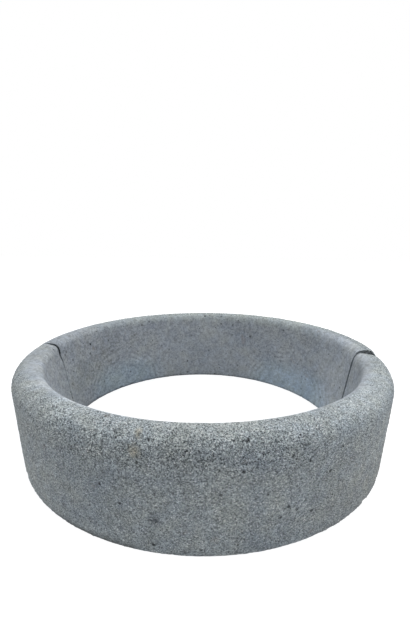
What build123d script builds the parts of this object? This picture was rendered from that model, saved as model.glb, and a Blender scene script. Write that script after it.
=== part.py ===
from build123d import *

import os
from math import atan, degrees, radians, tan

# Curved concrete kerb, laid dry as a ring of two half-round precast units.
#
# Each unit is one casting. It is made crest down in an open mould, so its faces
# are battered, both edges of its crest are rounded, its end faces are drafted,
# and its foot is the side that was struck off by hand.

# Ring and wall, in millimetres
opening_radius = 500.0  # clear radius inside the ring, at the ground
base_wall = 125.0  # wall thickness at the ground
unit_height = 297.0  # ground to crest
outer_batter = 25.0  # how far the outer face leans in, ground to crest
inner_batter = 12.5  # how far the inner face leans back from the opening

# Rounded crest and eased edges
crest_outer_radius = 52.0
crest_inner_radius = 24.0
crest_flat = 0.5  # least width of the land left between the two crest rounds
arris_chamfer = 4.0  # along both edges of the foot and round the end faces

# Dry joints between the two units
end_draft = 4.0  # how far each end face leans back, ground to crest
left_gap = 0.3  # between the end faces at the ground, on the -X side
right_gap = 6.0  # the same on the +X side
rear_rise_left = 0.0  # how far the rear unit's crest stands above the front's
rear_rise_right = 7.0

# Sizes that follow from those above
outer_radius = opening_radius + base_wall
middle_radius = opening_radius + base_wall / 2
crest_width = base_wall - outer_batter - inner_batter
strike_allowance = 2 * max(abs(rear_rise_left), abs(rear_rise_right)) + arris_chamfer

outer_lean = degrees(atan(outer_batter / unit_height))
inner_lean = degrees(atan(inner_batter / unit_height))
end_lean = degrees(atan(end_draft / unit_height))
swing = degrees(atan((right_gap - left_gap) / (4 * middle_radius)))
joint_offset = (left_gap + right_gap) / 4
rear_tilt = degrees(atan((rear_rise_right - rear_rise_left) / (2 * middle_radius)))
rear_lift = (rear_rise_left + rear_rise_right) / 2


def round_length(radius: float, lean: float) -> float:
    """Width of crest that a round takes where the crest meets a leaning face."""
    return radius * tan(radians((90 - lean) / 2))


# The two rounds shrink together where the crest is too narrow for both
crest_rounds = round_length(crest_outer_radius, outer_lean) + round_length(crest_inner_radius, inner_lean)
round_share = min(1.0, (crest_width - crest_flat) / crest_rounds)


# Wall section, drawn with its foot long enough to be struck off
with BuildSketch(Plane.XZ) as wall_section:
    with BuildLine():
        foot = strike_allowance / unit_height
        outer_foot = (outer_radius + outer_batter * foot, -strike_allowance)
        inner_foot = (opening_radius - inner_batter * foot, -strike_allowance)
        outer_crest = (outer_radius - outer_batter, unit_height)
        inner_crest = (opening_radius + inner_batter, unit_height)
        Polyline(outer_foot, outer_crest, inner_crest, inner_foot, close=True)
    make_face()
    fillet(wall_section.vertices().sort_by_distance(outer_crest)[0], crest_outer_radius * round_share)
    fillet(wall_section.vertices().sort_by_distance(inner_crest)[0], crest_inner_radius * round_share)


# One casting in its own frame, before its foot is struck
end_face = Plane.XZ.rotated((-end_lean, 0, 0))
with BuildPart() as casting:
    add(wall_section.sketch)
    revolve(axis=Axis.Z)
    split(bisect_by=end_face, keep=Keep.BOTTOM)


def arrises(unit: BuildPart) -> ShapeList[Edge]:
    """The edges of a unit that are eased: round its foot and its two end faces."""
    flats = unit.faces().filter_by(GeomType.PLANE)
    foot_face = flats.sort_by(Axis.Z)[0]
    end_faces = flats.sort_by(lambda face: abs(face.center().Y))[:2]
    return ShapeList({*foot_face.edges(), *end_faces[0].edges(), *end_faces[1].edges()})


# Front unit
front_place = Location((0, -joint_offset, 0), (0, 0, 180 - swing))
with BuildPart() as front_unit:
    add(front_place * casting.part)
    split(bisect_by=Plane.XY, keep=Keep.TOP)
    chamfer(arrises(front_unit), arris_chamfer)
front_unit.part.label = "front_kerb_unit"


# Rear unit, struck so that it stands a little taller towards the right-hand joint
rear_place = Location((0, joint_offset, rear_lift), (0, -rear_tilt, swing))
with BuildPart() as rear_unit:
    add(rear_place * casting.part)
    split(bisect_by=Plane.XY, keep=Keep.TOP)
    chamfer(arrises(rear_unit), arris_chamfer)
rear_unit.part.label = "rear_kerb_unit"


os.makedirs("parts", exist_ok=True)
for unit in (front_unit, rear_unit):
    export_step(unit.part, f"parts/{unit.part.label}.step")
    box = unit.part.bounding_box()
    print(unit.part.label, "volume", round(unit.part.volume), "box", box.min, box.max)
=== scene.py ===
"""Curved concrete kerb: a ring of two half-round units in washed aggregate concrete.

The crest and the outer faces were washed after casting, so their stone chippings
stand proud. The inner walls were cast against a smooth core.
"""

import logging
import math
from dataclasses import dataclass, field
from enum import Enum
from typing import Any, Sequence

import bmesh
import bpy
from mathutils import Matrix, Vector, noise


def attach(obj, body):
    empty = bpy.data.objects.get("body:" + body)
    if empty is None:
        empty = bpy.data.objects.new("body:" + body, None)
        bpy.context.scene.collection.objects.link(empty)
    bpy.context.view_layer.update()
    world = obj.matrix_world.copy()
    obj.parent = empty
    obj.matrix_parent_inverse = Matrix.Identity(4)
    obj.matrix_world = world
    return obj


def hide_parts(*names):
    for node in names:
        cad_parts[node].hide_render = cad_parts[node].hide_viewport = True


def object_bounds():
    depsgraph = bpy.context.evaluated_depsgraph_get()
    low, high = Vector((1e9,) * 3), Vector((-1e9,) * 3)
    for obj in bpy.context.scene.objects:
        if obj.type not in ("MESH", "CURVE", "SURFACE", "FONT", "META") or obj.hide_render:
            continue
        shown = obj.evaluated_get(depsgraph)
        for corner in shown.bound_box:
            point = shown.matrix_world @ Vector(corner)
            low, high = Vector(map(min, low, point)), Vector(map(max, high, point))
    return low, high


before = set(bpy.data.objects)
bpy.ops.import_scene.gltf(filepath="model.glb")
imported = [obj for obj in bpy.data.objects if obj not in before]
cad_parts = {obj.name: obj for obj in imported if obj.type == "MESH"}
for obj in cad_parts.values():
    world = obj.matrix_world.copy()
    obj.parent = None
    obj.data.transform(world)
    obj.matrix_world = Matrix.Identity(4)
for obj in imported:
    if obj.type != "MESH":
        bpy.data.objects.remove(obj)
CAD_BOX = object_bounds()

LOG = logging.getLogger("kerb_ring")
BODY = "root"
QUAD_CORNERS = 4

Place = tuple[float, float, float]
Colour = tuple[float, float, float]
Span = tuple[float, float]
Stops = tuple[tuple[float, Colour], ...]

RISING: Span = (0.0, 1.0)
FALLING: Span = (1.0, 0.0)
LEFT_TO_RIGHT: Span = (-0.1, 0.1)


def smooth_step(low: float, high: float, value: float) -> float:
    """Rises smoothly from 0 at low to 1 at high."""
    share = min(1.0, max(0.0, (value - low) / (high - low)))
    return share * share * (3.0 - 2.0 * share)


def even_noise(place: Vector) -> float:
    """Soft noise at a place, from 0 to 1."""
    return 0.5 + 0.5 * noise.noise(place)


class Position(Enum):
    """Where a unit stands in the ring."""

    FRONT = "front"
    REAR = "rear"


@dataclass(frozen=True)
class Casting:
    """The sizes of one half-round casting, in metres, as its mould has them."""

    opening_radius: float = 0.500
    base_wall: float = 0.125
    height: float = 0.297
    outer_batter: float = 0.025
    inner_batter: float = 0.0125
    crest_outer_round: float = 0.052
    crest_inner_round: float = 0.024
    arris: float = 0.0025
    end_arris: float = 0.0015
    end_draft: float = 0.0015
    end_overrun: float = 0.010
    struck_length: float = 0.018
    washed_pitch: float = 0.0032
    cast_pitch: float = 0.0100
    doublings: int = 4
    weld_distance: float = 0.000125

    @property
    def outer_radius(self) -> float:
        """Radius of the outer face at the ground."""
        return self.opening_radius + self.base_wall

    @property
    def middle_radius(self) -> float:
        """Radius of the middle of the wall at the ground."""
        return self.opening_radius + self.base_wall / 2

    @property
    def end_lean(self) -> float:
        """How far each end face leans back, in radians."""
        return math.atan(self.end_draft / self.height)

    def inner_radius(self, height: float) -> float:
        """Radius of the inner face at a height above the ground."""
        return self.opening_radius + self.inner_batter * height / self.height


@dataclass(frozen=True)
class Laying:
    """How the two units were laid: their dry joints and the rise of the rear one."""

    left_gap: float = 0.0003
    right_gap: float = 0.006
    rear_rise_left: float = 0.0
    rear_rise_right: float = 0.007

    def matrix(self, position: Position, casting: Casting) -> Matrix:
        """Place of a casting in the ring.

        Args:
            position: which of the two units it is.
            casting: the casting's sizes.

        Returns:
            The matrix that takes the casting from its mould to the ring.
        """
        width = 2 * casting.middle_radius
        swing = math.atan((self.right_gap - self.left_gap) / (2 * width))
        offset = (self.left_gap + self.right_gap) / 4
        if position is Position.FRONT:
            return Matrix.Translation((0, -offset, 0)) @ Matrix.Rotation(math.pi - swing, 4, "Z")
        tilt = math.atan((self.rear_rise_right - self.rear_rise_left) / width)
        lift = (self.rear_rise_left + self.rear_rise_right) / 2
        turn = Matrix.Rotation(-tilt, 4, "Y") @ Matrix.Rotation(swing, 4, "Z")
        return Matrix.Translation((0, offset, lift)) @ turn


@dataclass(frozen=True)
class WashLine:
    """Where the crest turns from smooth to washed, in metres outwards from the inner face."""

    start: float = 0.001
    width: float = 0.026
    left_shift: float = 0.016
    left_spread: float = 0.075
    right_shift: float = 0.0
    right_spread: float = 0.020
    joint_power: int = 4

    def washed(self, past_inner: float, sideways: float, leftward: bool) -> float:
        """How far a point was washed.

        Args:
            past_inner: its distance outwards from the inner face.
            sideways: 1 at a joint, 0 half-way between the joints.
            leftward: True on the side of the left-hand joint.

        Returns:
            1 where the face was washed, 0 where it was cast smooth.
        """
        near_joint = sideways**self.joint_power
        shift, spread = self.right_shift, self.right_spread
        if leftward:
            shift, spread = self.left_shift, self.left_spread
        start = self.start + shift * near_joint
        return smooth_step(start, start + self.width + spread * near_joint, past_inner)


@dataclass(frozen=True)
class Wear:
    """The relief of the surface: chippings, waves, bites at the foot and wear at the joints."""

    chip_size: float = 0.0065
    chip_depth: float = 0.0012
    chip_span: Span = (0.1, 0.8)
    grit_size: float = 0.0032
    grit_depth: float = 0.0014
    cast_depth: float = 0.0003
    wave_length: float = 0.110
    wave_depth: float = 0.0012
    lump_length: float = 0.030
    lump_depth: float = 0.0013
    bite_length: float = 0.035
    bite_depth: float = 0.0050
    bite_height: float = 0.016
    bite_span: Span = (0.16, 0.6)
    joint_length: float = 0.036
    joint_span: Span = (0.250, 0.290)
    joint_middle: float = 0.563
    joint_half_width: float = 0.045
    left_drop: float = 0.030
    left_span: Span = (-0.05, 0.7)
    left_depth: float = 0.006375
    front_depth: float = 0.0065
    front_edge_share: float = 0.25
    rear_depth: float = 0.0085
    rear_middle_loss: float = 0.70
    proud: float = 0.0018
    proud_cast_share: float = 0.4
    proud_slope: float = 1 / 12

    def depth(self, point: Vector, washed: float) -> float:
        """How far the surface lies under the mould's face at a point.

        The stones stand a little proud of that face, but never past the foot's width.

        Args:
            point: the point on the mould's face, in the ring's frame.
            washed: 1 where the face was washed, 0 where it was cast smooth.

        Returns:
            The depth in metres, negative where the surface stands proud.
        """
        chip_distance = noise.voronoi(point / self.chip_size)[0][0]
        chip = smooth_step(*self.chip_span, chip_distance) * self.chip_depth
        grit = (0.5 + 0.5 * noise.cell(point / self.grit_size)) * self.grit_depth
        cast = even_noise(point / self.chip_size) * self.cast_depth
        wave = even_noise(point / self.wave_length) * self.wave_depth
        wave += even_noise(point / self.lump_length) * self.lump_depth * washed
        wave *= smooth_step(0.0, self.bite_height, point.z)
        stone = washed * (chip + grit) + (1.0 - washed) * cast
        proud_share = self.proud_cast_share + (1.0 - self.proud_cast_share) * washed
        proud = min(self.proud * proud_share, point.z * self.proud_slope)
        return wave + stone + self.bite(point) + self.rounding(point) - proud

    def rounding(self, point: Vector) -> float:
        """Depth by which the crest is worn where it meets a dry joint.

        At the right-hand joint the front unit is worn hollow in the middle of its crest, and
        the rear one along both edges. At the left-hand joint both are worn towards the opening.

        Args:
            point: the point on the mould's face, in the ring's frame.

        Returns:
            The depth in metres.
        """
        near = 1.0 - smooth_step(0.0, self.joint_length, abs(point.y))
        drop = self.left_drop if point.x < 0.0 else 0.0
        high = smooth_step(self.joint_span[0] - drop, self.joint_span[1] - drop, point.z)
        across = (point.xy.length - self.joint_middle) / self.joint_half_width
        middle = 1.0 - smooth_step(0.0, 1.0, abs(across))
        if point.x < 0.0:
            depth = self.left_depth * smooth_step(*self.left_span, -across)
        elif point.y < 0.0:
            depth = self.front_depth * (self.front_edge_share + (1.0 - self.front_edge_share) * middle)
        else:
            depth = self.rear_depth * (1.0 - self.rear_middle_loss * middle)
        return near * high * depth

    def bite(self, point: Vector) -> float:
        """Depth of the small bites knocked out of the foot's edges.

        Args:
            point: the point on the mould's face, in the ring's frame.

        Returns:
            The depth in metres, which is none above the bites.
        """
        low = 1.0 - smooth_step(0.0, self.bite_height, point.z)
        if low <= 0.0:
            return 0.0
        place = Vector((point.x, point.y, 0.0)) / self.bite_length
        return low * smooth_step(*self.bite_span, noise.noise(place)) * self.bite_depth


class MixSocket(Enum):
    """Where a mix node takes its first and second value and where it gives its result."""

    COLOUR = (6, 7, 2)
    NUMBER = (2, 3, 0)


class NodeSheet:
    """A small helper that lays out the nodes of one material."""

    def __init__(self, name: str) -> None:
        """Makes an empty material.

        Args:
            name: the material's name.
        """
        self.material = bpy.data.materials.new(name)
        self.material.use_nodes = True
        self.tree = self.material.node_tree
        self.tree.nodes.clear()

    def add(self, kind: str, **settings: Any) -> bpy.types.Node:
        """Adds a node and sets its properties.

        Args:
            kind: the node's type.
            **settings: its properties by name.

        Returns:
            The new node.
        """
        node = self.tree.nodes.new(kind)
        for key, value in settings.items():
            setattr(node, key, value)
        return node

    def join(self, source: Any, target: Any) -> None:
        """Links a socket to an input, or writes a plain value to it.

        Args:
            source: the socket, number or colour.
            target: the input.
        """
        if isinstance(source, bpy.types.NodeSocket):
            self.tree.links.new(source, target)
        else:
            target.default_value = source

    def sums(self, operation: str, *values: Any) -> Any:
        """One sum of sockets or numbers.

        Args:
            operation: the math node's operation.
            *values: what it is worked out from, in order.

        Returns:
            The result's socket.
        """
        node = self.add("ShaderNodeMath", operation=operation)
        for socket, value in zip(node.inputs, values):
            self.join(value, socket)
        return node.outputs[0]

    def product(self, first: Any, *others: Any) -> Any:
        """Multiplies sockets or numbers.

        Args:
            first: the first factor.
            *others: the other factors.

        Returns:
            The product's socket.
        """
        for other in others:
            first = self.sums("MULTIPLY", first, other)
        return first

    def total(self, first: Any, *others: Any) -> Any:
        """Adds sockets or numbers up.

        Args:
            first: the first term.
            *others: the other terms.

        Returns:
            The total's socket.
        """
        for other in others:
            first = self.sums("ADD", first, other)
        return first

    def remap(self, value: Any, span: Span, levels: Span = RISING) -> Any:
        """Maps a span of a value smoothly to two levels, and keeps them outside it.

        Args:
            value: the value's socket.
            span: where the change starts and ends.
            levels: the results at the start and at the end.

        Returns:
            The result's socket.
        """
        node = self.add("ShaderNodeMapRange", interpolation_type="SMOOTHSTEP")
        names = ("Value", "From Min", "From Max", "To Min", "To Max")
        for name, item in zip(names, (value, *span, *levels)):
            self.join(item, node.inputs[name])
        return node.outputs["Result"]

    def mix(self, share: Any, first: Any, second: Any, blend: str = "MIX", over: bool = False) -> Any:
        """Mixes two colours.

        Args:
            share: how much of the second one is laid over the first.
            first: the colour underneath.
            second: the colour on top.
            blend: the mix node's way of mixing.
            over: True where the share may pass 1; the result is then held to 1 at most.

        Returns:
            The mixed colour's socket.
        """
        node = self.add(
            "ShaderNodeMix", data_type="RGBA", blend_type=blend, clamp_factor=not over, clamp_result=over
        )
        below, above, result = MixSocket.COLOUR.value
        self.join(share, node.inputs[0])
        for value, socket in ((first, node.inputs[below]), (second, node.inputs[above])):
            self.join((*value, 1.0) if isinstance(value, tuple) else value, socket)
        return node.outputs[result]

    def tint(self, colour: Any, factor: Any, share: Any = 1.0, over: bool = False) -> Any:
        """Multiplies a colour by another one, as far as the share says."""
        return self.mix(share, colour, factor, "MULTIPLY", over)

    def ramp(self, value: Any, stops: Stops) -> Any:
        """A colour ramp over a value.

        Args:
            value: the socket that drives it.
            stops: places from 0 to 1, each with its colour.

        Returns:
            The colour socket.
        """
        node = self.add("ShaderNodeValToRGB")
        elements = node.color_ramp.elements
        while len(elements) < len(stops):
            elements.new(0.5)
        for element, (place, colour) in zip(elements, stops):
            element.position = place
            element.color = (*colour, 1.0)
        self.join(value, node.inputs[0])
        return node.outputs[0]

    def cloud(self, where: Any, size: float, detail: float = 2.0, rough: float = 0.5) -> Any:
        """Soft noise.

        Args:
            where: the socket of the places.
            size: size of its features in metres.
            detail: how many times it is laid over itself, finer each time.
            rough: how strong the finer noise is.

        Returns:
            The noise's socket, from 0 to 1.
        """
        node = self.add("ShaderNodeTexNoise")
        node.inputs["Scale"].default_value = 1.0 / size
        node.inputs["Detail"].default_value = detail
        node.inputs["Roughness"].default_value = rough
        self.join(where, node.inputs["Vector"])
        return node.outputs["Fac"]

    def stones(self, where: Any, size: float) -> bpy.types.Node:
        """A Voronoi pattern of stones.

        Args:
            where: the socket of the places.
            size: size of a stone in metres.

        Returns:
            The pattern's node.
        """
        node = self.add("ShaderNodeTexVoronoi")
        node.inputs["Scale"].default_value = 1.0 / size
        self.join(where, node.inputs["Vector"])
        return node

    def draw(self, stones: bpy.types.Node, channel: int = 0) -> Any:
        """A random number from 0 to 1 for each stone.

        Args:
            stones: the pattern of the stones.
            channel: which of a stone's three numbers it is.

        Returns:
            The number's socket.
        """
        node = self.add("ShaderNodeSeparateColor")
        self.join(stones.outputs["Color"], node.inputs[0])
        return node.outputs[channel]


class Along(Enum):
    """What the limits of a soft zone are measured along."""

    RIGHT = "x, to the right"
    REAR = "y, to the rear"
    UP = "z, up from the ground"
    ASIDE = "distance from the middle to the left or the right"
    FINISH = "how far the face was washed"


@dataclass(frozen=True)
class Fade:
    """A smooth change from one level to another over a span along one direction."""

    along: Along
    span: Span
    levels: Span = RISING


@dataclass(frozen=True)
class Zone:
    """A soft part of the ring with its own tint, where all its fades meet.

    With washed_only it leaves the smooth face out. With over its share may pass 1.
    """

    name: str
    tint: Colour
    fades: tuple[Fade, ...]
    washed_only: bool = False
    over: bool = True


@dataclass(frozen=True)
class Tone:
    """A soft part of the cast face that is paler, or darker at negative levels."""

    name: str
    fades: tuple[Fade, ...]


class KerbSheet(NodeSheet):
    """The node sheet of the units, which knows the directions that their zones follow."""

    def __init__(self, name: str) -> None:
        """Makes an empty material and reads the place of each point.

        Args:
            name: the material's name.
        """
        super().__init__(name)
        self.where = self.add("ShaderNodeTexCoord").outputs["Object"]
        axes = self.add("ShaderNodeSeparateXYZ")
        self.join(self.where, axes.inputs[0])
        self.along: dict[Along, Any] = dict(zip((Along.RIGHT, Along.REAR, Along.UP), axes.outputs))
        self.along[Along.ASIDE] = self.sums("ABSOLUTE", axes.outputs[0])

    def share(self, name: str, fades: Sequence[Fade]) -> Any:
        """The product of some fades, on nodes that carry a label.

        Args:
            name: the label.
            fades: the fades to multiply.

        Returns:
            The product's socket.
        """
        made = len(self.tree.nodes)
        parts = [self.remap(self.along[fade.along], fade.span, fade.levels) for fade in fades]
        result = self.product(*parts)
        for node in self.tree.nodes[made:]:
            node.label = name
        return result

    def colour_zone(self, colour: Any, zone: Zone) -> Any:
        """Tints a colour within a zone.

        Args:
            colour: the colour's socket.
            zone: the zone.

        Returns:
            The tinted colour's socket.
        """
        share = self.share(zone.name, zone.fades)
        if zone.washed_only:
            share = self.product(share, self.along[Along.FINISH])
        return self.tint(colour, zone.tint, share, zone.over)


@dataclass(frozen=True)
class Blotches:
    """Soft blotches of one size, which darken a colour in places and lighten it in others."""

    size: float
    detail: float
    rough: float
    dark: tuple[float, Colour]
    light: tuple[float, Colour]

    @property
    def stops(self) -> Stops:
        """The factors over the noise, with no change in the middle."""
        return (self.dark, (0.5, (1.0, 1.0, 1.0)), self.light)


class Stain(Enum):
    """What a single mark multiplies the colour by."""

    RUST = (0.93, 0.80, 0.62)
    WARM = (0.90, 0.91, 0.85)
    PALE = (1.14, 1.14, 1.13)
    DULL = (0.86, 0.86, 0.84)
    # PIT paints the shade of an open pit; with a wide reach it paints a soft dark patch.
    PIT = (0.14, 0.14, 0.14)


@dataclass(frozen=True)
class Mark:
    """A small stain, or the painted shade of an open pit, at one place of the ring."""

    place: Place
    reach: float
    share: float
    stain: Stain
    pit_reach: float = 0.010
    pit_edge: Span = (0.9, 1.3)
    soft_edge: Span = (0.6, 1.7)

    @property
    def fade(self) -> Span:
        """Where the mark starts to fade and where it ends; an open pit has a sharp edge."""
        start, end = self.pit_edge if self.reach < self.pit_reach else self.soft_edge
        return start * self.reach, end * self.reach


@dataclass(frozen=True)
class WashedFace:
    """The colours of the washed face: chippings of many greys in dark paste."""

    paste: Colour = (0.225, 0.252, 0.270)
    paste_span: Span = (0.45, 0.80)
    paste_levels: Span = (0.0, 0.40)
    stone_mean: Colour = (0.320, 0.351, 0.370)
    stone_greys: Stops = (
        (0.00, (0.040, 0.043, 0.046)),
        (0.22, (0.170, 0.186, 0.198)),
        (0.50, (0.330, 0.362, 0.384)),
        (0.78, (0.480, 0.525, 0.550)),
        (0.94, (0.640, 0.680, 0.700)),
        (1.00, (0.900, 0.920, 0.930)),
    )
    grit_greys: Stops = (
        (0.0, (0.16, 0.18, 0.19)),
        (0.5, (0.30, 0.335, 0.355)),
        (1.0, (0.56, 0.60, 0.62)),
    )
    grit_fades: tuple[Fade, ...] = (Fade(Along.UP, (0.200, 0.285), (0.30, 0.62)),)
    # The stones' contrast rises towards the crest and falls towards the sides: partly stones washed out
    # further there, partly painted relief shade where light grazes under the crest.
    contrast: float = 1.06
    contrast_fades: tuple[Fade, ...] = (
        Fade(Along.UP, (0.190, 0.288)),
        Fade(Along.ASIDE, (0.14, 0.50), (1.20, 0.45)),
    )
    # Painted light and shade by height on the washed face: paler at the foot as from floor bounce light,
    # darker under the crest and paler again on its top.
    rise_height: float = 0.3
    painted_shading_tint: Colour = (1.008, 1.0, 0.988)
    painted_shading_greys: tuple[tuple[float, float], ...] = (
        (0.00, 1.06),
        (0.35, 1.04),
        (0.60, 1.01),
        (0.76, 0.97),
        (0.90, 0.985),
        (0.96, 0.975),
        (0.985, 1.055),
        (1.00, 1.06),
    )
    zones: tuple[Zone, ...] = (
        # Painted light: the left side of the washed face is made paler, as if lit from the left.
        Zone("painted light on left side", (1.085, 1.07, 1.06), (Fade(Along.RIGHT, (-0.46, -0.20), FALLING),)),
        Zone(
            "dark low right side",
            (0.87, 0.86, 0.85),
            (Fade(Along.RIGHT, (0.25, 0.42)), Fade(Along.UP, (0.06, 0.17), FALLING)),
        ),
        Zone(
            "warm right side",
            (1.015, 1.0, 0.980),
            (Fade(Along.RIGHT, (0.15, 0.45)), Fade(Along.UP, (0.20, 0.27), FALLING)),
        ),
        # Painted light: the outer faces are paler below the crest towards the ring's far left and right.
        Zone(
            "painted light on outer sides",
            (1.11, 1.10, 1.09),
            (Fade(Along.ASIDE, (0.405, 0.445)), Fade(Along.UP, (0.19, 0.26), FALLING)),
        ),
    )
    # Painted shade: a dark band along the foot of the washed face, strongest on the left of the front.
    foot_shade: Colour = (0.110, 0.118, 0.122)
    foot_fades: tuple[Fade, ...] = (Fade(Along.UP, (0.003, 0.018), FALLING),)
    foot_shade_middle: float = -0.22
    foot_shade_span: Span = (0.08, 0.14)
    foot_shade_levels: Span = (0.75, 0.12)

    def colour(self, sheet: KerbSheet, chips: bpy.types.Node, grit: bpy.types.Node) -> Any:
        """Colour of the washed face at each point.

        Args:
            sheet: the node sheet.
            chips: the pattern of the chippings.
            grit: the pattern of the finer stones.

        Returns:
            The colour's socket.
        """
        stone = sheet.ramp(sheet.draw(chips), self.stone_greys)
        fine_stone = sheet.ramp(sheet.draw(grit, channel=1), self.grit_greys)
        body = sheet.mix(sheet.share("grit", self.grit_fades), stone, fine_stone)
        recess = sheet.remap(chips.outputs["Distance"], self.paste_span, self.paste_levels)
        body = sheet.mix(recess, body, self.paste)
        # Stone contrast, partly painted relief shade.
        contrast = sheet.total(sheet.share("contrast", self.contrast_fades), self.contrast)
        body = sheet.mix(contrast, self.stone_mean, body, over=True)
        # Painted light and shade by height.
        red, green, blue = self.painted_shading_tint
        rise = tuple(
            (place, (red * grey, green * grey, blue * grey)) for place, grey in self.painted_shading_greys
        )
        height = sheet.product(sheet.along[Along.UP], 1 / self.rise_height)
        body = sheet.tint(body, sheet.ramp(height, rise), over=True)
        for zone in self.zones:
            body = sheet.colour_zone(body, zone)
        # Painted shade along the foot, strongest on the left of the front.
        away = sheet.sums("ABSOLUTE", sheet.total(sheet.along[Along.RIGHT], -self.foot_shade_middle))
        stretch = sheet.remap(away, self.foot_shade_span, self.foot_shade_levels)
        foot_shading = sheet.product(sheet.share("painted shade at foot", self.foot_fades), stretch)
        return sheet.mix(foot_shading, body, self.foot_shade)


@dataclass(frozen=True)
class CastFace:
    """The colours of the smooth inner wall, with arched float marks and damp patches."""

    warm: Colour = (0.354, 0.376, 0.403)
    cool: Colour = (0.342, 0.400, 0.452)
    wall_radius: float = 0.5
    arch_turn: float = math.radians(51.0)
    arch_half_width: float = 0.17
    arch_height: float = 0.19
    arch_widening: tuple[Fade, ...] = (Fade(Along.RIGHT, LEFT_TO_RIGHT, (0.85, 0.68)),)
    arch_sway_size: float = 0.08
    arch_sway: float = 0.20
    damp_sway_size: float = 0.05
    damp_sway: float = 0.35
    damp_span: Span = (0.85, 1.45)
    damp_low_span: Span = (0.35, 0.85)
    ring_frequency: float = 58.0
    ring_tone: float = 0.15
    ring_inner_span: Span = (0.6, 0.85)
    ring_outer_span: Span = (1.05, 1.30)
    ring_patch_size: float = 0.05
    ring_patch_span: Span = (0.38, 0.62)
    ring_patch_levels: Span = (0.15, 1.0)
    shade_outer_span: Span = (1.2, 1.5)
    shade_fades: tuple[Fade, ...] = (
        Fade(Along.RIGHT, LEFT_TO_RIGHT, (-0.08, 0.0)),
        Fade(Along.UP, (0.09, 0.15)),
    )
    grain_size: float = 0.0055
    grain_levels: Span = (-0.17, 0.17)
    mottle_size: float = 0.012
    mottle_span: Span = (0.25, 0.75)
    mottle_levels: Span = (-0.14, 0.14)
    # Painted shade: the small air holes are painted dark.
    dot_pitch: float = 0.028
    dot_draw_span: Span = (0.45, 0.9)
    dot_levels: Span = (0.0, -0.60)
    dot_edge: Span = (0.11, 0.22)
    # Painted light: the rear inner wall is paler to the right and darker to the left.
    slope_fades: tuple[Fade, ...] = (Fade(Along.REAR, (-0.10, 0.15), (0.0, 0.20)),)
    tones: tuple[Tone, ...] = (
        # Painted shade: a dark band along the foot of the inner wall, where it meets the ground.
        Tone("painted shade at inner foot", (Fade(Along.UP, (0.002, 0.014), (-0.35, 0.0)),)),
        Tone("darker upwards", (Fade(Along.UP, (0.150, 0.270), (0.05, -0.06)),)),
        Tone("pale crest", (Fade(Along.UP, (0.280, 0.296), (0.0, 0.05)),)),
        # Painted light: the lower inner wall on the right is made paler.
        Tone(
            "painted light on low right",
            (Fade(Along.RIGHT, (0.24, 0.44)), Fade(Along.UP, (0.06, 0.14), (0.21, 0.0))),
        ),
        Tone(
            "dark high right",
            (
                Fade(Along.RIGHT, (0.40, 0.48), (-0.11, 0.0)),
                Fade(Along.UP, (0.060, 0.125)),
                Fade(Along.RIGHT, (-0.05, 0.22)),
            ),
        ),
        Tone(
            "dark left",
            (Fade(Along.RIGHT, (-0.45, -0.37), FALLING), Fade(Along.UP, (0.18, 0.26), (-0.10, -0.03))),
        ),
    )

    def float_arc(self, sheet: KerbSheet) -> Any:
        """How far each point lies from the foot of its arch, where 1 is on the arch.

        Args:
            sheet: the node sheet.

        Returns:
            The distance's socket.
        """
        lengthways = sheet.sums("ABSOLUTE", sheet.along[Along.REAR])
        turn = sheet.sums("ARCTAN2", sheet.along[Along.ASIDE], lengthways)
        scale = self.wall_radius / self.arch_half_width
        across = sheet.sums("MULTIPLY_ADD", turn, scale, -scale * self.arch_turn)
        across = sheet.product(across, sheet.share("wider arch", self.arch_widening))
        upward = sheet.product(sheet.along[Along.UP], 1 / self.arch_height)
        square = sheet.total(sheet.product(across, across), sheet.product(upward, upward))
        sway = sheet.cloud(sheet.where, self.arch_sway_size)
        return sheet.sums("MULTIPLY_ADD", sway, self.arch_sway, sheet.sums("SQRT", square))

    def arch_tone(self, sheet: KerbSheet, float_arc: Any) -> Any:
        """Tone of the float's arched rings and of the darker band along the left-hand ones.

        Args:
            sheet: the node sheet.
            float_arc: how far each point lies from the foot of its arch.

        Returns:
            The tone's socket.
        """
        inner = sheet.remap(float_arc, self.ring_inner_span)
        outer = sheet.remap(float_arc, self.ring_outer_span, FALLING)
        patches = sheet.cloud(sheet.where, self.ring_patch_size)
        patches = sheet.remap(patches, self.ring_patch_span, self.ring_patch_levels)
        rings = sheet.sums("SINE", sheet.product(float_arc, self.ring_frequency))
        rings = sheet.product(rings, sheet.product(inner, outer, patches), self.ring_tone)
        shade_outer = sheet.remap(float_arc, self.shade_outer_span, FALLING)
        shade = sheet.product(inner, shade_outer, sheet.share("dark left arch", self.shade_fades))
        return sheet.total(rings, shade)

    def grain_tone(self, sheet: KerbSheet) -> Any:
        """Tone of the grain, the mottle and the painted shade of the small air holes.

        Args:
            sheet: the node sheet.

        Returns:
            The tone's socket.
        """
        grains = sheet.stones(sheet.where, self.grain_size)
        grain = sheet.remap(sheet.draw(grains, channel=1), RISING, self.grain_levels)
        mottle = sheet.cloud(sheet.where, self.mottle_size, detail=3.0, rough=0.6)
        mottle = sheet.remap(mottle, self.mottle_span, self.mottle_levels)
        # Painted shade of the small air holes.
        dots = sheet.stones(sheet.where, self.dot_pitch)
        dot = sheet.product(
            sheet.remap(sheet.draw(dots), self.dot_draw_span, self.dot_levels),
            sheet.remap(dots.outputs["Distance"], self.dot_edge, FALLING),
        )
        return sheet.total(grain, mottle, dot)

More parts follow.
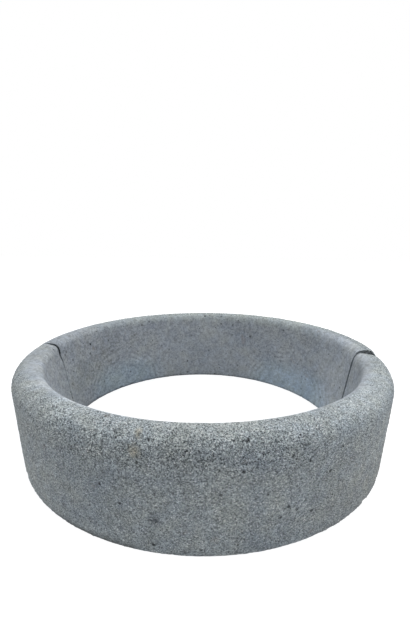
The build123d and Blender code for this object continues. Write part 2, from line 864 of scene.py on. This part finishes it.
    def colour(self, sheet: KerbSheet) -> Any:
        """Colour of the smooth cast face at each point.

        Args:
            sheet: the node sheet.

        Returns:
            The colour's socket.
        """
        float_arc = self.float_arc(sheet)
        sway = sheet.product(sheet.cloud(sheet.where, self.damp_sway_size, detail=3.0), self.damp_sway)
        damp = sheet.remap(sheet.total(float_arc, sway), self.damp_span, FALLING)
        upward = sheet.product(sheet.along[Along.UP], 1 / self.arch_height)
        low = sheet.remap(upward, self.damp_low_span, FALLING)
        base = sheet.mix(sheet.product(damp, low), self.warm, self.cool)
        # Painted light, paler to the right on the rear inner wall.
        slope = sheet.share("painted light, paler to the right", self.slope_fades)
        slope = sheet.product(sheet.along[Along.RIGHT], slope)
        tones = [sheet.share(tone.name, tone.fades) for tone in self.tones]
        tone = sheet.total(self.arch_tone(sheet, float_arc), self.grain_tone(sheet), slope, *tones, 1.0)
        factor = sheet.add("ShaderNodeCombineColor")
        for socket in factor.inputs:
            sheet.join(tone, socket)
        return sheet.tint(base, factor.outputs[0])


@dataclass(frozen=True)
class Weathering:
    """Blotches, painted shade of air pits, rusty specks and the single marks that lie over both faces.
    """

    blotches: tuple[Blotches, ...] = (
        Blotches(0.16, 3.0, 0.55, (0.30, (0.87, 0.89, 0.92)), (0.70, (1.09, 1.08, 1.05))),
        Blotches(0.045, 2.0, 0.5, (0.35, (1.015, 1.005, 0.975)), (0.65, (0.98, 0.995, 1.025))),
        Blotches(0.022, 3.0, 0.6, (0.32, (0.86, 0.86, 0.86)), (0.70, (1.08, 1.08, 1.08))),
    )
    # Painted shade: open air pits are painted dark in place of holes.
    pit: Colour = (0.045, 0.047, 0.050)
    pit_pitch: float = 0.027
    pit_rarity: float = 0.55
    pit_edge: Span = (0.055, 0.110)
    rust: Colour = (0.26, 0.205, 0.150)
    rust_size: float = 0.045
    rust_span: Span = (0.68, 0.78)
    rust_levels: Span = (0.0, 0.25)
    ragged_size: float = 0.008
    mark_squash: Place = (1.0, 0.4, 1.0)
    marks: tuple[Mark, ...] = (
        Mark((-0.0896, -0.5706, 0.2903), 0.0102, 0.80, Stain.RUST),
        Mark((-0.0945, -0.5935, 0.2620), 0.0170, 0.80, Stain.RUST),
        Mark((-0.0050, -0.5990, 0.2680), 0.0600, 0.18, Stain.PIT),
        Mark((0.0420, -0.6010, 0.2580), 0.0200, 0.14, Stain.PIT),
        Mark((-0.0603, -0.6138, 0.0978), 0.0200, 0.55, Stain.PIT),
        Mark((0.1254, -0.5930, 0.2242), 0.0066, 0.95, Stain.PIT),
        Mark((-0.1377, -0.5987, 0.1262), 0.0065, 0.90, Stain.PIT),
        Mark((-0.4970, 0.0910, 0.1250), 0.0900, 0.60, Stain.WARM),
        Mark((-0.2800, -0.4600, 0.2970), 0.0600, 0.85, Stain.PALE),
        Mark((-0.5250, -0.1000, 0.2950), 0.0600, 0.80, Stain.DULL),
        Mark((0.5100, -0.1300, 0.2750), 0.0400, 0.85, Stain.DULL),
        Mark((-0.1831, -0.5831, 0.1644), 0.0062, 0.90, Stain.PIT),
        Mark((-0.0649, -0.6194, 0.0262), 0.0070, 0.90, Stain.PIT),
        Mark((0.2171, -0.5778, 0.0921), 0.0065, 0.85, Stain.PIT),
        Mark((0.2527, -0.5621, 0.1037), 0.0058, 0.80, Stain.PIT),
        Mark((0.0819, -0.6050, 0.1709), 0.0060, 0.85, Stain.PIT),
        Mark((-0.0907, -0.5982, 0.2374), 0.0060, 0.85, Stain.PIT),
        Mark((0.1300, -0.5710, 0.2848), 0.0058, 0.85, Stain.PIT),
        Mark((0.2671, -0.5440, 0.2248), 0.0064, 0.88, Stain.PIT),
        Mark((0.3234, -0.5168, 0.1812), 0.0064, 0.88, Stain.PIT),
        Mark((0.2262, -0.5602, 0.2465), 0.0060, 0.85, Stain.PIT),
        Mark((0.2315, -0.5699, 0.1170), 0.0058, 0.85, Stain.PIT),
        Mark((0.2916, -0.5447, 0.0855), 0.0060, 0.88, Stain.PIT),
    )

    def colour(self, sheet: KerbSheet, colour: Any) -> Any:
        """Lays the weathering over a colour.

        Args:
            sheet: the node sheet.
            colour: the colour's socket.

        Returns:
            The weathered colour's socket.
        """
        for blotch in self.blotches:
            cloud = sheet.cloud(sheet.where, blotch.size, blotch.detail, blotch.rough)
            colour = sheet.tint(colour, sheet.ramp(cloud, blotch.stops))
        # Painted shade of open air pits.
        pits = sheet.stones(sheet.where, self.pit_pitch)
        open_pit = sheet.sums("GREATER_THAN", sheet.draw(pits), self.pit_rarity)
        hole = sheet.remap(pits.outputs["Distance"], self.pit_edge, FALLING)
        colour = sheet.mix(sheet.product(open_pit, hole), colour, self.pit)
        rusty = sheet.cloud(sheet.where, self.rust_size, rough=0.4)
        colour = sheet.mix(sheet.remap(rusty, self.rust_span, self.rust_levels), colour, self.rust)
        ragged = sheet.cloud(sheet.where, self.ragged_size, detail=3.0)
        for mark in self.marks:
            colour = self.mark_colour(sheet, colour, mark, ragged)
        return colour

    def mark_colour(self, sheet: KerbSheet, colour: Any, mark: Mark, ragged: Any) -> Any:
        """Lays one mark over a colour.

        Args:
            sheet: the node sheet.
            colour: the colour's socket.
            mark: the mark.
            ragged: the noise that makes its edge uneven.

        Returns:
            The marked colour's socket.
        """
        away = sheet.add("ShaderNodeVectorMath", operation="MULTIPLY_ADD")
        middle = -Vector(mark.place) * Vector(self.mark_squash)
        for value, socket in zip((sheet.where, self.mark_squash, middle), away.inputs):
            sheet.join(value, socket)
        length = sheet.add("ShaderNodeVectorMath", operation="LENGTH")
        sheet.join(away.outputs[0], length.inputs[0])
        reach = sheet.sums("MULTIPLY_ADD", ragged, mark.reach, length.outputs["Value"])
        return sheet.tint(colour, mark.stain.value, sheet.remap(reach, mark.fade, (mark.share, 0.0)))


@dataclass(frozen=True)
class WashedConcrete:
    """Washed aggregate concrete that turns into smooth cast concrete on the inner walls."""

    washed_face: WashedFace = WashedFace()
    cast_face: CastFace = CastFace()
    weathering: Weathering = Weathering()
    chip_size: float = 0.0024
    grit_size: float = 0.0014
    ragged_size: float = 0.016
    ragged_width: float = 1.2
    washed_span: Span = (0.10, 0.95)
    crest_zones: tuple[Zone, ...] = (
        # Paler crest: partly bleached, partly painted light, strongest on the front crest, weaker at the
        # sides and weakest on the rear one.
        Zone(
            "bleached crest with painted light",
            (1.44, 1.43, 1.41),
            (
                Fade(Along.UP, (0.260, 0.297)),
                Fade(Along.REAR, (-0.42, -0.10), (1.22, 0.66)),
                Fade(Along.REAR, (0.08, 0.45), (1.0, 0.55)),
            ),
        ),
        # Painted light: the washed crest on the right, mostly on the front unit, is made brighter as if
        # lit from the right.
        Zone(
            "painted light on right crest",
            (1.22, 1.22, 1.225),
            (
                Fade(Along.RIGHT, (0.20, 0.47)),
                Fade(Along.UP, (0.200, 0.282)),
                Fade(Along.REAR, (-0.22, 0.05), (1.0, 0.10)),
            ),
            washed_only=True,
            over=False,
        ),
        Zone(
            "smooth near rim",
            (1.20, 1.18, 1.14),
            (
                Fade(Along.FINISH, (0.1, 0.8), FALLING),
                Fade(Along.UP, (0.283, 0.294)),
                Fade(Along.REAR, (-0.46, -0.34), FALLING),
            ),
            over=False,
        ),
        Zone(
            "far crest",
            (1.02, 1.035, 0.995),
            (Fade(Along.REAR, (0.15, 0.40)), Fade(Along.UP, (0.262, 0.286))),
        ),
        Zone(
            "far edge",
            (1.12, 1.12, 1.11),
            (
                Fade(Along.REAR, (0.15, 0.40)),
                Fade(Along.UP, (0.262, 0.286)),
                Fade(Along.RIGHT, (-0.15, 0.40), (0.5, 1.7)),
            ),
            washed_only=True,
        ),
    )
    # Painted shade: the end faces in the dry joints are darkened to stand for the shade in the gaps.
    joint_shade: Colour = (0.125, 0.142, 0.155)
    joint_dust: Colour = (0.640, 0.690, 0.730)
    joint_share: float = 0.8
    dust_fades: tuple[Fade, ...] = (
        Fade(Along.RIGHT, LEFT_TO_RIGHT),
        Fade(Along.UP, (0.262, 0.284)),
    )
    roughness: float = 0.86
    cast_bump_size: float = 0.006
    cast_bump: float = 0.30
    grit_bump: float = -0.35
    chip_bump: float = -1.0
    bump_strength: float = 0.8
    bump_depth: float = 0.0034

    def material(self) -> bpy.types.Material:
        """Builds the finish.

        Returns:
            The node material.
        """
        sheet = KerbSheet("washed_concrete")
        washed = sheet.add("ShaderNodeAttribute", attribute_name="washed").outputs["Fac"]
        edge = sheet.cloud(sheet.where, self.ragged_size, detail=3.0, rough=0.6)
        ragged = sheet.sums("MULTIPLY_ADD", edge, self.ragged_width, -self.ragged_width / 2)
        washed = sheet.remap(sheet.total(washed, ragged), self.washed_span)
        sheet.along[Along.FINISH] = washed
        chips = sheet.stones(sheet.where, self.chip_size)
        grit = sheet.stones(sheet.where, self.grit_size)
        stone = self.washed_face.colour(sheet, chips, grit)
        colour = sheet.mix(washed, self.cast_face.colour(sheet), stone)
        for zone in self.crest_zones:
            colour = sheet.colour_zone(colour, zone)
        colour = self.joint_shade_colour(sheet, self.weathering.colour(sheet, colour))
        shader = sheet.add("ShaderNodeBsdfPrincipled")
        sheet.join(colour, shader.inputs["Base Color"])
        sheet.join(self.roughness, shader.inputs["Roughness"])
        sheet.join(self.bump(sheet, washed, chips, grit), shader.inputs["Normal"])
        output = sheet.add("ShaderNodeOutputMaterial")
        sheet.join(shader.outputs[0], output.inputs[0])
        return sheet.material

    def joint_shade_colour(self, sheet: KerbSheet, colour: Any) -> Any:
        """Darkens the end faces in the dry joints with painted shade; the right-hand one is dusty near
        the crest.

        Args:
            sheet: the node sheet.
            colour: the colour's socket.

        Returns:
            The changed colour's socket.
        """
        joint = sheet.add("ShaderNodeAttribute", attribute_name="joint").outputs["Fac"]
        filling = sheet.mix(sheet.share("dust", self.dust_fades), self.joint_shade, self.joint_dust)
        return sheet.mix(sheet.product(joint, self.joint_share), colour, filling)

    def bump(self, sheet: KerbSheet, washed: Any, chips: bpy.types.Node, grit: bpy.types.Node) -> Any:
        """Fine relief under the size that the mesh holds.

        Args:
            sheet: the node sheet.
            washed: 1 where the face was washed, 0 where it was cast smooth.
            chips: the pattern of the chippings.
            grit: the pattern of the finer stones.

        Returns:
            The normal's socket.
        """
        rough = sheet.product(grit.outputs["Distance"], self.grit_bump)
        rough = sheet.sums("MULTIPLY_ADD", chips.outputs["Distance"], self.chip_bump, rough)
        smooth = sheet.cloud(sheet.where, self.cast_bump_size, detail=3.0, rough=0.6)
        smooth = sheet.product(smooth, self.cast_bump)
        height = sheet.add("ShaderNodeMix", data_type="FLOAT")
        below, above, result = MixSocket.NUMBER.value
        for value, socket in ((washed, 0), (smooth, below), (rough, above)):
            sheet.join(value, height.inputs[socket])
        node = sheet.add("ShaderNodeBump")
        sheet.join(self.bump_strength, node.inputs["Strength"])
        sheet.join(self.bump_depth, node.inputs["Distance"])
        sheet.join(height.outputs[result], node.inputs["Height"])
        return node.outputs[0]


@dataclass
class KerbUnit:
    """One half-round unit, turned from its wall section and worn as the real one."""

    position: Position
    casting: Casting = field(default_factory=Casting)
    laying: Laying = field(default_factory=Laying)
    wash_line: WashLine = field(default_factory=WashLine)
    wear: Wear = field(default_factory=Wear)

    @property
    def node(self) -> str:
        """Name of the node that this unit stands for."""
        return f"{self.position.value}_kerb_unit"

    @property
    def end_normal(self) -> Vector:
        """Normal of the plane of both end faces, in the mould's frame."""
        lean = self.casting.end_lean
        return Vector((0, -math.cos(lean), math.sin(lean)))

    def build(self, finish: bpy.types.Material) -> bpy.types.Object:
        """Args:
            finish: the material of the whole unit.

        Returns:
            The finished object.
        """
        shell = bmesh.new()
        self.turn_wall(shell)
        self.cut_ends(shell)
        self.mark_finish(shell)
        place = self.laying.matrix(self.position, self.casting)
        bmesh.ops.transform(shell, matrix=place, verts=shell.verts)
        self.strike_foot(shell)
        bmesh.ops.recalc_face_normals(shell, faces=shell.faces)
        self.wear_surface(shell)
        mesh = bpy.data.meshes.new(f"{self.position.value}_kerb_washed")
        shell.to_mesh(mesh)
        shell.free()
        mesh.materials.append(finish)
        piece = bpy.data.objects.new(mesh.name, mesh)
        bpy.context.scene.collection.objects.link(piece)
        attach(piece, BODY)
        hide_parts(self.node)
        return piece

    def wall_section(self, shell: bmesh.types.BMesh) -> list[bmesh.types.BMEdge]:
        """Draws the wall's section in the XZ plane, with its crest rounded.

        Args:
            shell: the empty bmesh to draw in.

        Returns:
            The edges of the section's outline.
        """
        sizes = self.casting
        below = sizes.struck_length / sizes.height
        corners = (
            (sizes.outer_radius + sizes.outer_batter * below, -sizes.struck_length),
            (sizes.outer_radius - sizes.outer_batter, sizes.height),
            (sizes.opening_radius + sizes.inner_batter, sizes.height),
            (sizes.opening_radius - sizes.inner_batter * below, -sizes.struck_length),
        )
        points = [shell.verts.new((x, 0.0, z)) for x, z in corners]
        shell.faces.new(points)
        for point, radius, batter in (
            (points[1], sizes.crest_outer_round, sizes.outer_batter),
            (points[2], sizes.crest_inner_round, sizes.inner_batter),
        ):
            quarter = math.pi / 2 - math.atan(batter / sizes.height)
            bmesh.ops.bevel(
                shell,
                geom=[point],
                offset=radius * math.tan(quarter / 2),
                offset_type="OFFSET",
                segments=round(radius * quarter / sizes.washed_pitch),
                profile=0.5,
                affect="VERTICES",
                material=-1,
            )
        bmesh.ops.delete(shell, geom=list(shell.faces), context="FACES_ONLY")
        for edge in list(shell.edges):
            first, last = (vert.co for vert in edge.verts)
            if abs(first.z - last.z) > sizes.height / 2:
                outer = (first.x + last.x) / 2 > sizes.middle_radius
                pitch = sizes.washed_pitch if outer else sizes.cast_pitch
                cuts = round(edge.calc_length() / pitch) - 1
                bmesh.ops.subdivide_edges(shell, edges=[edge], cuts=cuts)
        return list(shell.edges)

    def turn_wall(self, shell: bmesh.types.BMesh) -> None:
        """Turns the section a little past half a circle about the ring's axis.

        Args:
            shell: the empty bmesh to build in.
        """
        sizes = self.casting
        spare = sizes.end_overrun / sizes.opening_radius
        outline = self.wall_section(shell)
        start = Matrix.Rotation(-spare, 3, "Z")
        bmesh.ops.rotate(shell, verts=shell.verts, cent=(0, 0, 0), matrix=start)
        sector = (math.pi + 2 * spare) / 2**sizes.doublings
        bmesh.ops.spin(
            shell,
            geom=list(shell.verts) + outline,
            cent=(0, 0, 0),
            axis=(0, 0, 1),
            angle=sector,
            steps=round(sector * sizes.outer_radius / sizes.washed_pitch),
            use_merge=False,
        )
        for doubling in range(sizes.doublings):
            everything = list(shell.verts) + list(shell.edges) + list(shell.faces)
            copy = bmesh.ops.duplicate(shell, geom=everything)["geom"]
            bmesh.ops.rotate(
                shell,
                verts=[item for item in copy if isinstance(item, bmesh.types.BMVert)],
                cent=(0, 0, 0),
                matrix=Matrix.Rotation(sector * 2**doubling, 3, "Z"),
            )
        bmesh.ops.remove_doubles(shell, verts=shell.verts, dist=sizes.weld_distance)

    def cap(self, shell: bmesh.types.BMesh, outward: Vector, arris: float) -> None:
        """Cuts the shell by a plane through the ring's middle, closes it there and eases the edges.

        Args:
            shell: the bmesh to cut.
            outward: the finished face's normal.
            arris: width of the chamfer along the new edges.
        """
        cut = bmesh.ops.bisect_plane(
            shell,
            geom=list(shell.verts) + list(shell.edges) + list(shell.faces),
            plane_co=-outward * arris,
            plane_no=outward,
            clear_outer=True,
        )
        rim = [item for item in cut["geom_cut"] if isinstance(item, bmesh.types.BMEdge)]
        faces = bmesh.ops.edgeloop_fill(shell, edges=rim)["faces"]
        bmesh.ops.recalc_face_normals(shell, faces=shell.faces)
        bmesh.ops.inset_region(shell, faces=faces, thickness=arris, depth=arris, use_even_offset=True)
        wide = [face for face in shell.faces if len(face.verts) > QUAD_CORNERS]
        bmesh.ops.triangulate(shell, faces=wide)

    def cut_ends(self, shell: bmesh.types.BMesh) -> None:
        """Cuts both end faces, which lie in one leaning plane through the ring's axis."""
        self.cap(shell, self.end_normal, self.casting.end_arris)

    def strike_foot(self, shell: bmesh.types.BMesh) -> None:
        """Strikes the foot level with the ground."""
        self.cap(shell, Vector((0, 0, -1)), self.casting.arris)

    def mark_finish(self, shell: bmesh.types.BMesh) -> None:
        """Writes how far each vertex was washed and whether it lies in a joint.

        Args:
            shell: the unit, still in its mould's frame.
        """
        washed = shell.verts.layers.float.new("washed")
        joint = shell.verts.layers.float.new("joint")
        outward = self.end_normal
        for vert in shell.verts:
            past_inner = vert.co.xy.length - self.casting.inner_radius(vert.co.z)
            sideways = abs(vert.co.x) / vert.co.xy.length
            leftward = (vert.co.x > 0) == (self.position is Position.FRONT)
            vert[washed] = self.wash_line.washed(past_inner, sideways, leftward)
            vert[joint] = 1.0 if vert.co.dot(outward) > -self.casting.end_arris / 2 else 0.0

    def wear_surface(self, shell: bmesh.types.BMesh) -> None:
        """Sinks each vertex under the mould's face by the depth of the wear there.

        Args:
            shell: the unit in its place in the ring.
        """
        layer = shell.verts.layers.float["washed"]
        shell.normal_update()
        moves = []
        for vert in shell.verts:
            depth = self.wear.depth(vert.co, vert[layer])
            normal = vert.normal.copy()
            if vert.co.z < self.casting.arris / 2:
                normal.z = 0.0
            moves.append(-normal * depth)
        crest = CAD_BOX[1].z
        for vert, move in zip(shell.verts, moves):
            vert.co += move
            vert.co.z = min(vert.co.z, crest)
        for face in shell.faces:
            face.smooth = len(face.verts) <= QUAD_CORNERS


@dataclass(frozen=True)
class SoftBox:
    """A round soft lamp that is aimed at the middle of the ring."""

    name: str
    place: Place
    size: float
    power: float
    aim: Place = (0.0, 0.0, 0.15)

    def hang(self) -> None:
        """Makes the lamp and hangs it in its place."""
        data = bpy.data.lights.new(self.name, "AREA")
        data.energy = self.power
        data.shape = "DISK"
        data.size = self.size
        lamp = bpy.data.objects.new(self.name, data)
        lamp.location = self.place
        towards = Vector(self.aim) - Vector(self.place)
        lamp.rotation_euler = towards.to_track_quat("-Z", "Y").to_euler()
        bpy.context.scene.collection.objects.link(lamp)


@dataclass(frozen=True)
class Studio:
    """Pale floor, soft light and the photograph's camera."""

    frame_pixels: tuple[int, int] = (410, 620)
    focal_pixels: float = 337.02
    centre_pixel: tuple[float, float] = (202.587, 422.155)
    pitch: float = math.radians(29.3408)
    roll: float = math.radians(0.4108)
    azimuth: float = math.radians(4.0425)
    distance: float = 1.3101
    sensor: float = 36.0
    near_clip: float = 0.05
    sky: Colour = (0.93, 0.97, 1.0)
    sky_strength: float = 0.76
    white: Colour = (1.0, 1.0, 1.0)
    lamps: tuple[SoftBox, ...] = (
        SoftBox("rear_softbox", (0.6, 3.0, 4.0), 2.2, 47.0),
        SoftBox("right_softbox", (3.8, 0.0, 1.2), 1.8, 23.0),
    )
    floor_reach: float = 9.0
    floor_grey: Colour = (0.80, 0.80, 0.80)
    shadow_grey: Colour = (0.42, 0.42, 0.42)
    floor_glow: float = 0.84

    def build(self) -> None:
        """Sets up the stage, the light and the camera."""
        self.light_sky()
        for lamp in self.lamps:
            lamp.hang()
        self.lay_floor()
        self.place_camera()
        bpy.context.scene.view_settings.view_transform = "Standard"

    def light_sky(self) -> None:
        """An even pale sky, which the camera sees as white."""
        world = bpy.data.worlds.new("studio_sky")
        bpy.context.scene.world = world
        world.use_nodes = True
        tree = world.node_tree
        tree.nodes.clear()
        path = tree.nodes.new("ShaderNodeLightPath")
        light = tree.nodes.new("ShaderNodeBackground")
        light.inputs[0].default_value = (*self.sky, 1.0)
        light.inputs[1].default_value = self.sky_strength
        white = tree.nodes.new("ShaderNodeBackground")
        white.inputs[0].default_value = (*self.white, 1.0)
        seen = tree.nodes.new("ShaderNodeMath")
        seen.operation = "MAXIMUM"
        tree.links.new(path.outputs["Is Camera Ray"], seen.inputs[0])
        tree.links.new(path.outputs["Is Glossy Ray"], seen.inputs[1])
        mix = tree.nodes.new("ShaderNodeMixShader")
        for source, target in zip((seen, light, white), mix.inputs):
            tree.links.new(source.outputs[0], target)
        output = tree.nodes.new("ShaderNodeOutputWorld")
        tree.links.new(mix.outputs[0], output.inputs[0])

    def floor_material(self) -> bpy.types.Material:
        """A pale floor that glows for the camera, so that it shows white around the shadow.

        Returns:
            The node material.
        """
        sheet = NodeSheet("pale_floor")
        path = sheet.add("ShaderNodeLightPath")
        seen = sheet.add("ShaderNodeBsdfDiffuse")
        sheet.join((*self.shadow_grey, 1.0), seen.inputs[0])
        glow = sheet.add("ShaderNodeEmission")
        sheet.join(self.floor_glow, glow.inputs[1])
        both = sheet.add("ShaderNodeAddShader")
        sheet.join(seen.outputs[0], both.inputs[0])
        sheet.join(glow.outputs[0], both.inputs[1])
        plain = sheet.add("ShaderNodeBsdfDiffuse")
        sheet.join((*self.floor_grey, 1.0), plain.inputs[0])
        mix = sheet.add("ShaderNodeMixShader")
        sheet.join(path.outputs["Is Camera Ray"], mix.inputs[0])
        sheet.join(plain.outputs[0], mix.inputs[1])
        sheet.join(both.outputs[0], mix.inputs[2])
        output = sheet.add("ShaderNodeOutputMaterial")
        sheet.join(mix.outputs[0], output.inputs[0])
        return sheet.material

    def lay_floor(self) -> None:
        """Lays a wide floor under the ring."""
        ground = bmesh.new()
        bmesh.ops.create_grid(ground, x_segments=1, y_segments=1, size=self.floor_reach)
        mesh = bpy.data.meshes.new("floor")
        ground.to_mesh(mesh)
        ground.free()
        mesh.materials.append(self.floor_material())
        floor = bpy.data.objects.new("floor", mesh)
        bpy.context.scene.collection.objects.link(floor)

    def place_camera(self) -> None:
        """The photograph's viewpoint, from its fitted pinhole camera."""
        forward = Vector((0, math.cos(self.pitch), -math.sin(self.pitch)))
        up = Vector((0, math.sin(self.pitch), math.cos(self.pitch)))
        right = Vector((1, 0, 0))
        turn = Matrix.Rotation(self.azimuth, 3, "Z")
        rolled_right = turn @ (right * math.cos(self.roll) + up * math.sin(self.roll))
        rolled_up = turn @ (up * math.cos(self.roll) - right * math.sin(self.roll))
        forward = turn @ forward
        width, height = self.frame_pixels
        data = bpy.data.cameras.new("photo_camera")
        data.sensor_width = self.sensor
        data.lens = self.focal_pixels * self.sensor / max(width, height)
        data.shift_x = (width / 2 - self.centre_pixel[0]) / max(width, height)
        data.shift_y = (self.centre_pixel[1] - height / 2) / max(width, height)
        data.clip_start = self.near_clip
        camera = bpy.data.objects.new("photo_camera", data)
        pose = Matrix((rolled_right, rolled_up, -forward)).transposed().to_4x4()
        camera.matrix_world = Matrix.Translation(-forward * self.distance) @ pose
        bpy.context.scene.collection.objects.link(camera)
        bpy.context.scene.camera = camera


def main() -> None:
    """Builds the units in order, then the stage, and reports each piece."""
    logging.basicConfig(level=logging.INFO, format="%(name)s: %(message)s")
    finish = WashedConcrete().material()
    for position in Position:
        piece = KerbUnit(position).build(finish)
        LOG.info("%s: %d faces", piece.name, len(piece.data.polygons))
    Studio().build()


if __name__ == "__main__":
    main()
